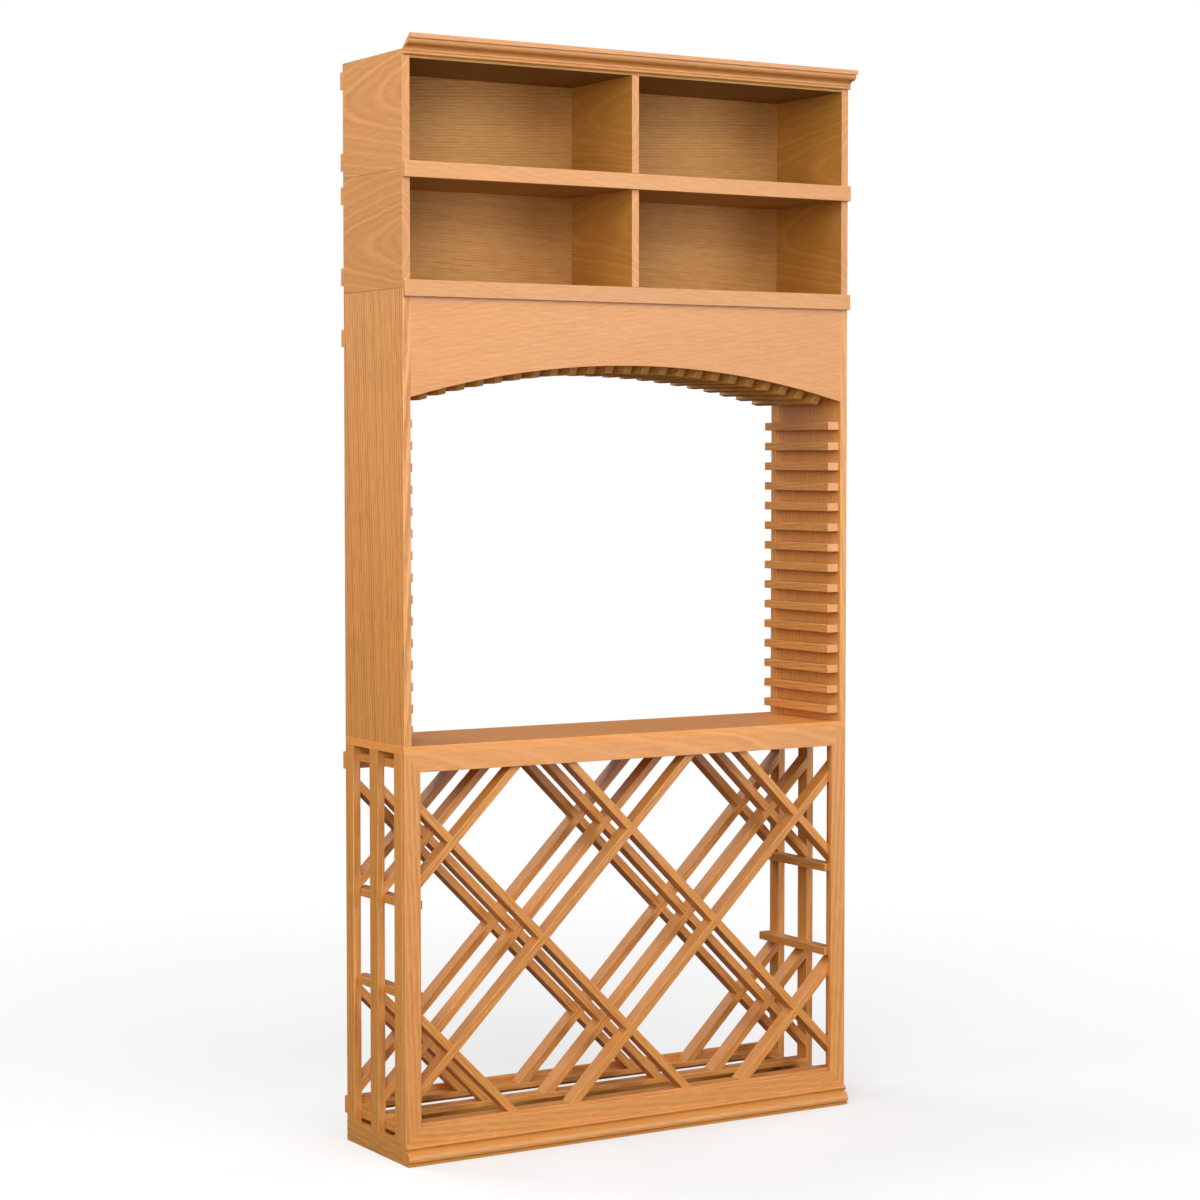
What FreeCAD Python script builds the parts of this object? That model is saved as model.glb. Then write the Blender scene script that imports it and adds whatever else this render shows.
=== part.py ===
import FreeCAD, Part
import math
import os
import re
import Sketcher

doc = FreeCAD.newDocument("WineTastingStation")
sheet = doc.addObject("Spreadsheet::Sheet", "Sizes")

SIDE_SLATS = 15
ARCH_SLATS = 23

# Sizes in millimetres. A text that starts with = is worked out from the sizes above it.
SIZES = (
    ("cabinet_width", 1164.5, "width over both sides"),
    ("cabinet_depth", 284.0, "depth of the side panels"),
    ("board_thick", 18.0, "panels, posts and boards"),
    ("trim_thick", 12.5, "face frame, trim strips, floor rails and wall cleats"),
    ("slat_wide", 31.0, "slat stock, standing out from its wall"),
    ("slat_thick", 18.5, "slat stock, along its wall"),
    ("table_height", 908.0, "top of the tasting table above the floor"),
    ("arch_height", 979.0, "height of the arched middle module"),
    ("bin_height", 251.5, "height of each open bin module"),
    ("post_wide", 37.5, "posts and lattice slats, front to back"),
    ("plinth_height", 47.0, "side and rear plinth rails"),
    ("plinth_front", 41.0, "front plinth board under the face frame"),
    ("frame_wide", 39.0, "face frame members"),
    ("floor_show", 6.0, "floor rail standing above the face frame opening"),
    ("lattice_thick", 18.0, "lattice slat in the plane of the lattice"),
    ("lattice_step", 228.5, "half the distance between crossings in a row"),
    ("lattice_drop", 2.5, "lattice centre below the middle of the face frame"),
    ("lap_play", 0.1, "side play in the half laps"),
    ("valance_tall", 232.0, "valance and ribs, height at the foot of the arch"),
    ("arch_rise", 75.0, "rise of the arch from foot to crown"),
    ("rib_lift", 15.0, "ribs set back above the edge of the valance"),
    ("slat_first", 19.0, "lowest side slat above the table"),
    ("slat_last", 46.5, "highest side slat below the foot of the arch"),
    ("slat_setback", 6.0, "right side slats behind the front edge of the panel"),
    ("slat_left_set", 52.0, "left side slats behind the front edge of the panel"),
    ("slat_rear_set", 18.0, "side slats before the rear edge of the panel"),
    ("slat_slant", 20.0, "arch slats, front ends slanting back from top to bottom"),
    ("back_set", 20.0, "front face of the bin backs before the rear edge"),
    ("back_thick", 6.0, "bin back panel"),
    ("groove_deep", 6.0, "groove for the bin back"),
    ("groove_play", 0.5, "back panel short of the groove floor"),
    ("strip_tall", 34.5, "trim strip under each bin"),
    ("cleat_tall", 38.5, "wall cleats"),
    ("cleat_inset", 17.5, "wall cleat from the end of its module"),
    ("arch_cleat_drop", 78.5, "wall cleat below the top of the arch module"),
    ("base_cleat_low", 60.0, "lower wall cleat of the base above the floor"),
    ("dowel_thick", 8.0, "dowels between the modules"),
    ("dowel_hold", 20.0, "dowel length held in each module"),
    ("dowel_relief", 1.0, "hole deeper than the dowel"),
    ("crown_out", 38.5, "crown moulding, front of the fascia"),
    ("crown_tall", 40.5, "crown moulding, full height"),
    ("crown_seat", 11.5, "crown moulding, flat seat on the cabinet front"),
    ("crown_fascia", 9.5, "crown moulding, upright fascia"),
    ("crown_nib", 3.0, "crown moulding, flat top edge"),
    ("crown_bead_out", 7.0, "crown moulding, bead from the cabinet front"),
    ("crown_bead", 6.0, "crown moulding, height of the bead"),
    ("crown_bead_round", 3.3, "crown moulding, bead radius"),
    ("crown_quirk", 2.0, "crown moulding, small steps"),
    ("crown_cove", 10.5, "crown moulding, hollow radius"),
    ("crown_ovolo", 10.0, "crown moulding, round radius"),
    ("skirt_tall", 44.0, "base moulding, full height"),
    ("skirt_foot_out", 13.5, "base moulding, foot fillet"),
    ("skirt_foot", 6.0, "base moulding, height of the foot fillet"),
    ("skirt_groove", 3.5, "base moulding, height of the lower groove"),
    ("skirt_groove_in", 2.5, "base moulding, lower groove behind the foot"),
    ("skirt_nose_out", 17.0, "base moulding, front of the round"),
    ("skirt_nose", 3.0, "base moulding, upright part of the round"),
    ("skirt_round", 20.0, "base moulding, radius of the round"),
    ("skirt_neck_out", 6.0, "base moulding, top of the round"),
    ("skirt_neck", 30.0, "base moulding, height at the top of the round"),
    ("skirt_quirk_out", 3.5, "base moulding, floor of the upper groove"),
    ("skirt_bead_low", 34.5, "base moulding, height under the bead"),
    ("skirt_bead_out", 5.0, "base moulding, foot of the bead"),
    ("skirt_bead_top", 3.0, "base moulding, top of the bead"),
    ("skirt_bead_round", 5.2, "base moulding, bead radius"),
    ("half_wide", "=cabinet_width/2", "outer face from the middle"),
    ("inner_half", "=half_wide-board_thick", "inner face of posts and panels"),
    ("front_y", "=(crown_out-cabinet_depth-trim_thick)/2", "front edges of the side panels"),
    ("rear_y", "=front_y+cabinet_depth", "rear edges of the side panels"),
    ("frame_y", "=front_y+trim_thick", "back of the face frame"),
    ("post_mid_y", "=(frame_y+rear_y-post_wide)/2", "front of the middle posts"),
    ("post_rear_y", "=rear_y-post_wide", "front of the rear posts"),
    ("back_y", "=rear_y-back_set", "front face of the bin backs"),
    ("table_under", "=table_height-board_thick", "underside of the table"),
    ("arch_top", "=table_height+arch_height", "top of the arched module"),
    ("lower_top", "=arch_top+bin_height", "top of the lower bins"),
    ("upper_top", "=lower_top+bin_height", "top of the upper bins"),
    ("floor_top", "=plinth_front+frame_wide+floor_show", "top of the lattice floor"),
    ("floor_low", "=floor_top-trim_thick", "underside of the lattice floor"),
    ("rail_low", "=table_under-board_thick", "underside of the top rails"),
    ("lattice_mid", "=(plinth_front+table_under)/2-lattice_drop", "centre of the lattice"),
    ("lattice_reach", "=cabinet_width+table_height", "slat blanks before trimming"),
    ("diag", "=sqrt(0.5)", "share of a diagonal along each side"),
    ("side_touch", "=3*lattice_step-inner_half-lattice_thick*diag", "outer slat edge from the lattice centre"),
    ("spring_height", "=arch_height-valance_tall", "foot of the arch above the table"),
    ("arch_foot", "=table_height+spring_height", "foot of the arch above the floor"),
    ("arch_radius", "=(inner_half*inner_half+arch_rise*arch_rise)/(2*arch_rise)", "radius of the arch"),
    ("arch_centre", "=arch_foot+arch_rise-arch_radius", "height of the arch centre"),
    ("rib_radius", "=arch_radius+rib_lift", "radius of the ribs"),
    ("rib_foot", "=arch_centre+sqrt(rib_radius*rib_radius-inner_half*inner_half)", "foot of the ribs"),
    ("slat_seat", "=sqrt(rib_radius*rib_radius-slat_thick*slat_thick/4)", "arch slat top from the centre"),
    ("arch_half", "=asin(inner_half/arch_radius)", "half the angle of the arch"),
    ("slat_low", "=slat_seat-slat_wide", "arch slat underside from the centre"),
    ("arch_step", "=arch_half*2/%d" % (ARCH_SLATS + 1), "angle between the arch slats"),
    ("slat_end_y", "=rear_y-slat_rear_set", "rear ends of the side slats"),
    ("slat_climb", "=spring_height-slat_first-slat_last-slat_thick", "lowest to highest side slat"),
    ("side_pitch", "=slat_climb/%d" % (SIDE_SLATS - 1), "spacing of the side slats"),
    ("groove_end", "=groove_deep-groove_play", "back panel held in its groove"),
    ("dowel_front_y", "=frame_y+post_wide/2", "front dowels"),
    ("dowel_rear_y", "=rear_y-post_wide/2", "rear dowels"),
)
for row, (alias, size, note) in enumerate(SIZES, start=1):
    sheet.set("A%d" % row, note)
    sheet.set("B%d" % row, str(size))
    sheet.setAlias("B%d" % row, alias)
doc.recompute()

ALIASES = {alias for alias, _, _ in SIZES}
SQUARE_TURN = 45.0
QUARTER_TURN = 90.0
NODES = []


def expr(text):
    """Expression with each size named in the sheet."""
    return re.sub(r"[a-z_]+", lambda m: "Sizes." + m.group(0) if m.group(0) in ALIASES else m.group(0), text)


def value(text):
    """Present value of an expression in millimetres."""
    return float(sheet.evalExpression(expr(text)))


def place(piece, at):
    """Tie the three coordinates of a piece to the sheet."""
    for axis, text in zip("xyz", at):
        piece.setExpression("Placement.Base." + axis, expr(text))


def node(piece):
    """List a finished piece of the cabinet."""
    NODES.append(piece)
    return piece


def box(name, at, dims):
    """Straight board from its corner and its three sizes."""
    piece = doc.addObject("Part::Box", name)
    for prop, text in zip(("Length", "Width", "Height"), dims):
        piece.setExpression(prop, expr(text))
    place(piece, at)
    return piece


def turned(name, at, dims, axis_y, angle):
    """Board turned about a line that runs front to back."""
    piece = box(name, at, dims)
    start = FreeCAD.Rotation(FreeCAD.Vector(0, axis_y, 0), SQUARE_TURN)
    piece.Placement = FreeCAD.Placement(FreeCAD.Vector(), start)
    place(piece, at)
    if angle is not None:
        piece.setExpression("Placement.Rotation.Angle", expr(angle))
    return piece


def group(name, pieces):
    """Separate pieces of one kind kept together under one name."""
    piece = doc.addObject("Part::Compound", name)
    piece.Links = pieces
    return piece


def cut(name, base, tool):
    """One piece with another's space taken out of it."""
    piece = doc.addObject("Part::Cut", name)
    piece.Base = base
    piece.Tool = tool
    return piece


def hole(name, at, length):
    """Upright round pin or bore of the dowel size."""
    piece = doc.addObject("Part::Cylinder", name)
    piece.setExpression("Radius", expr("dowel_thick/2"))
    piece.setExpression("Height", expr(length))
    place(piece, at)
    return piece


def arc_between(first, last, radius, turn):
    """Arc from one corner to the next; turn is 1 for anticlockwise and -1 for clockwise."""
    middle = (first + last) * 0.5
    along = last - first
    left = FreeCAD.Vector(-along.y, along.x, 0) * (1.0 / along.Length)
    rise = math.sqrt(max(radius * radius - along.Length * along.Length / 4, 0.0))
    centre = middle + left * rise * turn
    start, end = (first, last) if turn > 0 else (last, first)
    a = math.atan2(start.y - centre.y, start.x - centre.x)
    b = math.atan2(end.y - centre.y, end.x - centre.x)
    circle = Part.Circle(centre, FreeCAD.Vector(0, 0, 1), radius)
    return Part.ArcOfCircle(circle, a, b if b > a else b + 2 * math.pi)


def profile(name, plane, corners, length, at):
    """Body swept straight from a closed outline.

    Each corner is (across, up) or (across, up, radius, turn) when an arc leads on from it.
    """
    body = doc.addObject("PartDesign::Body", name)
    outline = body.newObject("Sketcher::SketchObject", name + "_outline")
    support = [f for f in body.Origin.OriginFeatures if getattr(f, "Role", "") == plane][0]
    outline.AttachmentSupport = [(support, "")]
    outline.MapMode = "FlatFace"
    points = [FreeCAD.Vector(value(c[0]), value(c[1]), 0) for c in corners]
    ends = []
    for i, corner in enumerate(corners):
        first, last = points[i], points[(i + 1) % len(points)]
        if len(corner) == 2:
            outline.addGeometry(Part.LineSegment(first, last), False)
            ends.append((1, 2))
        else:
            outline.addGeometry(arc_between(first, last, value(corner[2]), corner[3]), False)
            ends.append((1, 2) if corner[3] > 0 else (2, 1))
    count = len(corners)
    for i in range(count):
        j = (i + 1) % count
        outline.addConstraint(Sketcher.Constraint("Coincident", i, ends[i][1], j, ends[j][0]))
    for i, corner in enumerate(corners):
        for kind, text, axis in (("DistanceX", corner[0], -2), ("DistanceY", corner[1], -1)):
            if text == "0":
                outline.addConstraint(Sketcher.Constraint("PointOnObject", i, ends[i][0], axis))
                continue
            index = outline.addConstraint(Sketcher.Constraint(kind, -1, 1, i, ends[i][0], value(text)))
            outline.setExpression("Constraints[%d]" % index, expr(text))
        if len(corner) > 2:
            index = outline.addConstraint(Sketcher.Constraint("Radius", i, value(corner[2])))
            outline.setExpression("Constraints[%d]" % index, expr(corner[2]))
    pad = body.newObject("PartDesign::Pad", name + "_run")
    pad.Profile = outline
    pad.setExpression("Length", expr(length))
    outline.Visibility = False
    place(body, at)
    return body


SIDES = (("left", "-half_wide", "-inner_half"), ("right", "inner_half", "inner_half-slat_wide"))
SLAT_SETS = {"left": "slat_left_set", "right": "slat_setback"}
LAYERS = (("front", "frame_y"), ("middle", "post_mid_y"), ("rear", "post_rear_y"))

# Plinth: side rails, rear rail between them and the board under the face frame
for side, outer, _ in SIDES:
    node(box("plinth_rail_" + side, (outer, "frame_y", "0"),
             ("board_thick", "cabinet_depth-trim_thick", "plinth_height")))
node(box("plinth_rail_rear", ("-inner_half", "rear_y-board_thick", "0"),
         ("2*inner_half", "board_thick", "plinth_height")))
node(box("plinth_board_front", ("-half_wide", "front_y", "0"),
         ("cabinet_width", "trim_thick", "plinth_front")))

# Posts: three to a side, standing on the plinth rails; front and rear posts are bored for the dowels
for side, outer, _ in SIDES:
    for layer, post_y in LAYERS:
        name = "base_post_%s_%s" % (side, layer)
        dims = ("board_thick", "post_wide", "table_under-plinth_height")
        if layer == "middle":
            node(box(name, (outer, post_y, "plinth_height"), dims))
            continue
        blank = box(name + "_blank", (outer, post_y, "plinth_height"), dims)
        bore = hole(name + "_bore", (outer + "+board_thick/2", "dowel_%s_y" % layer,
                                     "table_under-dowel_hold-dowel_relief"), "dowel_hold+2*dowel_relief")
        node(cut(name, blank, bore))

# Cleats inside the posts: under the floor, below and above the outer lattice slats, under the top rails
CLEATS = (("floor", "floor_low-slat_thick"), ("lower", "lattice_mid-side_touch"),
          ("upper", "lattice_mid+side_touch-slat_thick"), ("top", "rail_low-slat_thick"))
base_cleats = []
for side, _, inner in SIDES:
    rungs = []
    for level, low in CLEATS:
        rungs.append(box("base_cleat_%s_%s" % (side, level), (inner, "frame_y", low),
                         ("slat_wide", "cabinet_depth-trim_thick", "slat_thick")))
    base_cleats.append(node(group("base_cleats_" + side, rungs)))

# Floor rails under the lattice and top rails under the table, one for each layer
node(group("floor_rails", [box("floor_rail_" + layer, ("-inner_half", post_y, "floor_low"),
                               ("2*inner_half", "post_wide", "trim_thick")) for layer, post_y in LAYERS]))
node(group("top_rails", [box("top_rail_" + layer, ("-inner_half", post_y, "rail_low"),
                             ("2*inner_half", "post_wide", "board_thick")) for layer, post_y in LAYERS]))

# Diamond lattice: in each layer four rising and four falling slats, trimmed round the side cleats
# and halved over each other at every crossing
STEPS = ("-3*lattice_step", "-lattice_step", "lattice_step", "3*lattice_step")


def lattice_slat(name, rising, step, y, depth, thick):
    """One square slat blank through the lattice, long enough to be trimmed."""
    if rising:
        at = ("-(%s)/2-(lattice_reach-%s)/2*diag" % (step, thick), y,
              "lattice_mid+(%s)/2-(lattice_reach+%s)/2*diag" % (step, thick))
    else:
        at = ("(%s)/2-(lattice_reach+%s)/2*diag" % (step, thick), y,
              "lattice_mid+(%s)/2+(lattice_reach-%s)/2*diag" % (step, thick))
    return turned(name, at, ("lattice_reach", depth, thick), -1 if rising else 1, None)


for layer, post_y in LAYERS:
    for run, rising in (("rising", True), ("falling", False)):
        name = "lattice_%s_%s" % (layer, run)
        blanks = [lattice_slat("%s_blank_%d" % (name, i), rising, step, post_y, "post_wide", "lattice_thick")
                  for i, step in enumerate(STEPS)]
        field = box(name + "_field", ("-inner_half", post_y, "floor_top"),
                    ("2*inner_half", "post_wide", "rail_low-floor_top"))
        trimmed = doc.addObject("Part::MultiCommon", name + "_trimmed")
        trimmed.Shapes = [group(name + "_blanks", blanks), field]
        fitted = cut(name + "_fitted", trimmed, group(name + "_stops", base_cleats))
        notch_y = post_y + "+post_wide/2" if rising else post_y + "-post_wide/2"
        notches = [lattice_slat("%s_notch_%d" % (name, i), not rising, step, notch_y, "post_wide",
                                "(lattice_thick+lap_play)") for i, step in enumerate(STEPS)]
        node(cut(name, fitted, group(name + "_notches", notches)))

# Face frame: four mitred members
LEFT, RIGHT, LOW, HIGH = "-half_wide", "half_wide", "plinth_front", "table_under"
LEFT_IN, RIGHT_IN, LOW_IN, HIGH_IN = (
    LEFT + "+frame_wide", RIGHT + "-frame_wide", LOW + "+frame_wide", HIGH + "-frame_wide")
FRAME = (
    ("top", ((LEFT, HIGH), (RIGHT, HIGH), (RIGHT_IN, HIGH_IN), (LEFT_IN, HIGH_IN))),
    ("bottom", ((LEFT, LOW), (RIGHT, LOW), (RIGHT_IN, LOW_IN), (LEFT_IN, LOW_IN))),
    ("left", ((LEFT, LOW), (LEFT, HIGH), (LEFT_IN, HIGH_IN), (LEFT_IN, LOW_IN))),
    ("right", ((RIGHT, LOW), (RIGHT, HIGH), (RIGHT_IN, HIGH_IN), (RIGHT_IN, LOW_IN))),
)
for member, corners in FRAME:
    node(profile("face_frame_" + member, "XZ_Plane", corners, "trim_thick", ("0", "frame_y", "0")))

# Base moulding along the front of the plinth
SKIRT = (
    ("0", "0"),
    ("-skirt_foot_out", "0"),
    ("-skirt_foot_out", "skirt_foot"),
    ("-skirt_foot_out+skirt_groove_in", "skirt_foot"),
    ("-skirt_foot_out+skirt_groove_in", "skirt_foot+skirt_groove"),
    ("-skirt_nose_out", "skirt_foot+skirt_groove"),
    ("-skirt_nose_out", "skirt_foot+skirt_groove+skirt_nose", "skirt_round", -1),
    ("-skirt_neck_out", "skirt_neck"),
    ("-skirt_quirk_out", "skirt_neck"),
    ("-skirt_quirk_out", "skirt_bead_low"),
    ("-skirt_bead_out", "skirt_bead_low", "skirt_bead_round", -1),
    ("-skirt_bead_top", "skirt_tall"),
    ("0", "skirt_tall"),
)
node(profile("base_moulding", "YZ_Plane", SKIRT, "cabinet_width", ("-half_wide", "front_y", "0")))

# Tasting table on the base, bored through for the dowels
DOWEL_SPOTS = [(side, outer + "+board_thick/2", end, "dowel_%s_y" % end)
               for side, outer, _ in SIDES for end in ("front", "rear")]
top_blank = box("tasting_table_blank", ("-half_wide", "front_y", "table_under"),
                ("cabinet_width", "cabinet_depth", "board_thick"))
bores = [hole("tasting_table_bore_%s_%s" % (side, end), (x, y, "table_under-dowel_relief"),
              "board_thick+2*dowel_relief") for side, x, end, y in DOWEL_SPOTS]
node(cut("tasting_table", top_blank, group("tasting_table_bores", bores)))

# Arched module: side panels bored at both ends
for side, outer, _ in SIDES:
    name = "arch_panel_" + side
    blank = box(name + "_blank", (outer, "front_y", "table_height"),
                ("board_thick", "cabinet_depth", "arch_height"))
    bores = []
    for spot, x, end, y in DOWEL_SPOTS:
        if spot == side:
            bores.append(hole("%s_foot_bore_%s" % (name, end), (x, y, "table_height-dowel_relief"),
                              "dowel_hold+2*dowel_relief"))
            bores.append(hole("%s_head_bore_%s" % (name, end), (x, y, "arch_top-dowel_hold-dowel_relief"),
                              "dowel_hold+2*dowel_relief"))
    node(cut(name, blank, group(name + "_bores", bores)))

# Slats up the inner faces of the side panels
for side, _, inner in SIDES:
    start = "front_y+" + SLAT_SETS[side]
    rungs = [box("arch_side_slat_%s_%d" % (side, i),
                 (inner, start, "table_height+slat_first+%d*side_pitch" % i),
                 ("slat_wide", "slat_end_y-(%s)" % start, "slat_thick")) for i in range(SIDE_SLATS)]
    node(group("arch_side_slats_" + side, rungs))


def arched(name, foot, radius, y):
    """Board with an arched lower edge between the side panels."""
    corners = (("-inner_half", foot, radius, -1), ("inner_half", foot), ("inner_half", "arch_top"),
               ("-inner_half", "arch_top"))
    return profile(name, "XZ_Plane", corners, "board_thick", ("0", y, "0"))


# Valance and the two ribs that carry the arch slats
node(arched("arch_valance", "arch_foot", "arch_radius", "front_y+board_thick"))
node(arched("arch_rib_front", "rib_foot", "rib_radius", "front_y+2*board_thick"))
node(arched("arch_rib_rear", "rib_foot", "rib_radius", "rear_y"))

# Slats around the arch, each square to the curve, with their front ends cut back below
staves = []
for i in range(ARCH_SLATS):
    step = i - (ARCH_SLATS - 1) // 2
    turn = 1 if step > 0 else -1
    angle = "%d*arch_step" % abs(step)
    at = ("%d*slat_low*sin(%s)-slat_thick/2*cos(%s)" % (turn, angle, angle), "front_y+board_thick",
          "arch_centre+slat_low*cos(%s)+%d*slat_thick/2*sin(%s)" % (angle, turn, angle))
    dims = ("slat_thick", "rear_y-front_y-board_thick", "slat_wide")
    staves.append(turned("arch_slat_%d" % i, at, dims, turn, angle))
slant = doc.addObject("Part::Cone", "arch_slat_slant")
slant.setExpression("Radius1", expr("slat_seat"))
slant.setExpression("Radius2", expr("slat_low"))
slant.setExpression("Height", expr("slat_slant"))
slant.Placement = FreeCAD.Placement(FreeCAD.Vector(), FreeCAD.Rotation(FreeCAD.Vector(-1, 0, 0), QUARTER_TURN))
place(slant, ("0", "front_y+board_thick", "arch_centre"))
node(cut("arch_slats", group("arch_slat_blanks", staves), slant))

# Open bins: sides, top, floor, divider and a back panel held in grooves
BINS = (("lower", "arch_top", "lower_top"), ("upper", "lower_top", "upper_top"))
for tier, low, high in BINS:
    for side, outer, _ in SIDES:
        name = "%s_bin_side_%s" % (tier, side)
        blank = box(name + "_blank", (outer, "front_y", low), ("board_thick", "cabinet_depth", "bin_height"))
        groove_x = "-inner_half-groove_deep" if side == "left" else "inner_half"
        cutters = [box(name + "_groove", (groove_x, "back_y", low + "+board_thick-groove_deep"),
                       ("groove_deep", "back_thick", "bin_height-2*board_thick+2*groove_deep"))]
        for spot, x, end, y in DOWEL_SPOTS:
            if spot != side:
                continue
            cutters.append(hole("%s_foot_bore_%s" % (name, end), (x, y, low + "-dowel_relief"),
                                "dowel_hold+2*dowel_relief"))
            if tier == "lower":
                cutters.append(hole("%s_head_bore_%s" % (name, end),
                                    (x, y, high + "-dowel_hold-dowel_relief"), "dowel_hold+2*dowel_relief"))
        node(cut(name, blank, group(name + "_cutters", cutters)))
    for board, board_low, groove_low in (("floor", low, low + "+board_thick-groove_deep"),
                                         ("top", high + "-board_thick", high + "-board_thick")):
        name = "%s_bin_%s" % (tier, board)
        blank = box(name + "_blank", ("-inner_half", "front_y", board_low),
                    ("2*inner_half", "cabinet_depth", "board_thick"))
        groove = box(name + "_groove", ("-inner_half", "back_y", groove_low),
                     ("2*inner_half", "back_thick", "groove_deep"))
        node(cut(name, blank, groove))
    node(box(tier + "_bin_divider", ("-board_thick/2", "front_y", low + "+board_thick"),
             ("board_thick", "cabinet_depth-back_set", "bin_height-2*board_thick")))
    node(box(tier + "_bin_back", ("-inner_half-groove_end", "back_y", low + "+board_thick-groove_end"),
             ("2*inner_half+2*groove_end", "back_thick", "bin_height-2*board_thick+2*groove_end")))
    node(box(tier + "_bin_strip", ("-half_wide", "front_y-trim_thick", low + "-board_thick"),
             ("cabinet_width", "trim_thick", "strip_tall")))

# Crown moulding along the top of the front
COVE_OUT = "crown_bead_out+crown_quirk+crown_cove"
COVE_TOP = "crown_bead+crown_quirk+crown_cove"
CROWN = (
    ("0", "0"),
    ("-crown_bead_out", "0", "crown_bead_round", -1),
    ("-crown_bead_out", "crown_bead"),
    ("-crown_bead_out-crown_quirk", "crown_bead+crown_quirk", "crown_cove", 1),
    ("-(%s)" % COVE_OUT, COVE_TOP),
    ("-(%s+crown_quirk)" % COVE_OUT, COVE_TOP, "crown_ovolo", -1),
    ("-(%s+crown_quirk+crown_ovolo)" % COVE_OUT, COVE_TOP + "+crown_ovolo"),
    ("-(%s+crown_quirk+crown_ovolo)" % COVE_OUT, "crown_tall-crown_fascia"),
    ("-crown_out", "crown_tall-crown_fascia"),
    ("-crown_out", "crown_tall"),
    ("-crown_out+crown_nib", "crown_tall"),
    ("0", "crown_seat"),
)
node(profile("crown_moulding", "YZ_Plane", CROWN, "cabinet_width",
             ("-half_wide", "front_y", "upper_top-crown_seat")))

# Wall cleats across the back of every module
WALL_CLEATS = (
    ("wall_cleat_base_low", "base_cleat_low"),
    ("wall_cleat_base_high", "table_under-cleat_inset-cleat_tall"),
    ("wall_cleat_arch", "arch_top-arch_cleat_drop-cleat_tall"),
    ("wall_cleat_lower_bin_low", "arch_top+cleat_inset"),
    ("wall_cleat_lower_bin_high", "lower_top-cleat_inset-cleat_tall"),
    ("wall_cleat_upper_bin_low", "lower_top+cleat_inset"),
    ("wall_cleat_upper_bin_high", "upper_top-cleat_inset-cleat_tall"),
)
for name, low in WALL_CLEATS:
    node(box(name, ("-half_wide", "rear_y", low), ("cabinet_width", "trim_thick", "cleat_tall")))

# Dowels that locate each module on the one below
pins = []
for side, x, end, y in DOWEL_SPOTS:
    for joint, low, length in (("table", "table_under", "board_thick+2*dowel_hold"),
                               ("arch", "arch_top", "2*dowel_hold"), ("bins", "lower_top", "2*dowel_hold")):
        pins.append(hole("dowel_%s_%s_%s" % (joint, side, end), (x, y, low + "-dowel_hold"), length))
node(group("module_dowels", pins))

doc.recompute()
for piece in doc.Objects:
    bad = [state for state in piece.State if state in ("Invalid", "Error")]
    if bad:
        raise RuntimeError("%s did not recompute: %s" % (piece.Label, bad))
for piece in NODES:
    if piece.Shape.isNull() or not piece.Shape.isValid() or not piece.Shape.Solids:
        raise RuntimeError("%s has no sound shape" % piece.Label)

os.makedirs("parts", exist_ok=True)
for piece in NODES:
    piece.Shape.exportStep(os.path.join("parts", piece.Label + ".step"))
    span = piece.Shape.BoundBox
    limits = (span.XMin, span.XMax, span.YMin, span.YMax, span.ZMin, span.ZMax)
    print("%-28s %2d solids  x %8.1f %8.1f  y %8.1f %8.1f  z %8.1f %8.1f"
          % (piece.Label, len(piece.Shape.Solids), *limits))
print(len(NODES), "pieces")
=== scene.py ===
"""Wine tasting station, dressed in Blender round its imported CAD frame.

Each timber is a copy of its CAD node with eased arrises and its own piece of solid grain: every face cuts
through the same growth rings, so the faces, edges and ends of a board agree. The slat rows, the vault under
the arch and the dowels are set out by Geometry Nodes. Lengths are in metres.
"""

import logging
import math
import random
from dataclasses import dataclass, replace
from enum import Enum
from typing import Any, Iterable, NamedTuple, Union

import bmesh
import bpy
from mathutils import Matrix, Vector


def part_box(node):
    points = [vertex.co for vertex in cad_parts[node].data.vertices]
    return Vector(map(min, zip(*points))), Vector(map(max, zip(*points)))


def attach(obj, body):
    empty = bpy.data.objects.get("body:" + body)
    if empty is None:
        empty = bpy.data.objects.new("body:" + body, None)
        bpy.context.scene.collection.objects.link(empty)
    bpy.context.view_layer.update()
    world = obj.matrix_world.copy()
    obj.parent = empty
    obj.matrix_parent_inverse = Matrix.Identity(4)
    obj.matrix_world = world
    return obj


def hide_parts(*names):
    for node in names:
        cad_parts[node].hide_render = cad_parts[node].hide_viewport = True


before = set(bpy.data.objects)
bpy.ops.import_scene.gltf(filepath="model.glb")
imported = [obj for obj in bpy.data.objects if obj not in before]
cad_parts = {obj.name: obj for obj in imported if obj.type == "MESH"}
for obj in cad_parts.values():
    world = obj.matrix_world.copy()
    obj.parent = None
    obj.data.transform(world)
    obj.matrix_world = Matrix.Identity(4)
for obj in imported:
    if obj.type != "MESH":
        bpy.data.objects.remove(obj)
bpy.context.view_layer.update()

BODY = "root"

# What counts as one point, a flat face, a sharp edge and the same place
WELD = 0.00001
FLAT_ANGLE = math.radians(0.3)
SHARP_ANGLE = math.radians(40.0)
SAME_PLACE = 0.0001

# Least cosine with the fibres of an edge that runs along them and of the normal of an end
PARALLEL = 0.999
END_TURN = 0.6

# Eased arrises
ARRIS_WIDTH = 0.0008
ARRIS_STEPS = 2
SHORTEST_ARRIS = 0.006

Colour = tuple[float, float, float]
Place = tuple[float, float, float]
Span = tuple[float, float]
Feed = Union["Wire", float, int, str, tuple, Vector, bpy.types.ID]
log = logging.getLogger("wine_tasting_station")


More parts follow.
